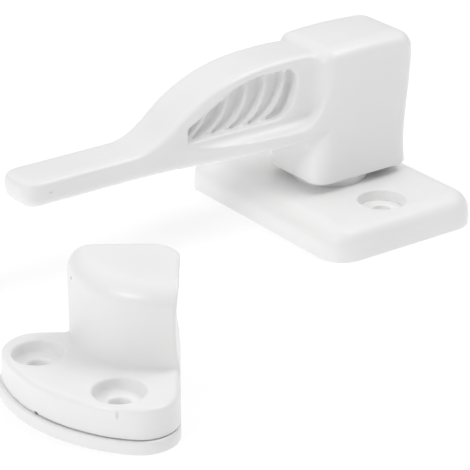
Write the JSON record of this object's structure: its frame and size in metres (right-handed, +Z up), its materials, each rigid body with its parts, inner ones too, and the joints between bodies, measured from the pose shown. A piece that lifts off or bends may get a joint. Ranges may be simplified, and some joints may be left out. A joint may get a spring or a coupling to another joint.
{
  "type": "cabinet latch",
  "caption": "White plastic cabinet latch: a swivelling lever with a ribbed finger grip on a rounded base plate, and a separate quarter-round keeper on a spacer plate.",
  "frame": {"origin": "on the lever's pivot axis, midway between the two screw holes, level with the underside of the base plate", "axes": "+Z up along the pivot axis, -X along the arm towards its tip, Y along the row of screw holes in the base plate"},
  "size_m": [0.1146, 0.0891, 0.0359],
  "materials": {
    "white_plastic": "satin to gloss moulded surface",
    "zinc_steel": "bright zinc plate",
    "spring_steel": "plain spring steel"
  },
  "bodies": {
    "base": {"base_plate": "white_plastic", "spring_washer": "spring_steel", "keeper": "white_plastic", "spacer_plate": "white_plastic"},
    "lever": {"lever": "white_plastic", "pivot_washer": "zinc_steel", "pivot_screw": "zinc_steel"}
  },
  "joints": [
    {"name": "lever_turn", "type": "hinge", "parent": "base", "child": "lever", "pos_m": [0, 0, 0], "axis": [0, 0, 1], "range_deg": [-90, 90]}
  ]
}
